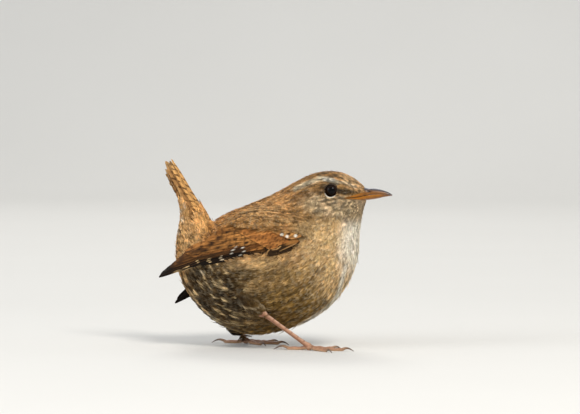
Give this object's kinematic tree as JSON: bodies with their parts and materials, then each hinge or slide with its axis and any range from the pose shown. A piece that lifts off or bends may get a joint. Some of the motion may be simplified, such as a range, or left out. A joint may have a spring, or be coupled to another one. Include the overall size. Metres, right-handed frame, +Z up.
{
  "type": "wren bird model",
  "caption": "Life-size still model of a Eurasian wren standing with its tail cocked, feathered body, folded wings, slender bill and spread toes.",
  "frame": {"origin": "on the floor under the middle of the bounding box", "axes": "+X towards the bill, +Y towards the bird's left, +Z up"},
  "size_m": [0.0752, 0.0359, 0.0603],
  "materials": {
    "head_plumage": "short feathers, warm brown with fine dark speckling and a cream brow stripe",
    "body_plumage": "loose soft feathers, buff breast, barred dusky flanks, warm brown back",
    "tail_plumage": "rufous tail feathers with narrow dark bars",
    "wing_plumage": "smooth rufous wing feathers with dark bars and buff notches",
    "leg_scales": "horny scutes, pinkish brown, satin",
    "bill_horn": "smooth dark horn",
    "bill_horn_pale": "smooth orange-brown horn with a dark tip",
    "eye_gloss": "wet gloss, near black"
  },
  "bodies": {
    "root": {"head": "head_plumage", "neck": "head_plumage", "trunk": "body_plumage", "tail": "tail_plumage", "wing_right": "wing_plumage", "wing_left": "wing_plumage", "thigh_right": "body_plumage", "thigh_left": "body_plumage", "tarsus_right": "leg_scales", "tarsus_left": "leg_scales", "foot_right": "leg_scales", "foot_left": "leg_scales", "bill_upper": "bill_horn", "bill_lower": "bill_horn_pale", "eye_right": "eye_gloss", "eye_left": "eye_gloss"}
  },
  "joints": []
}
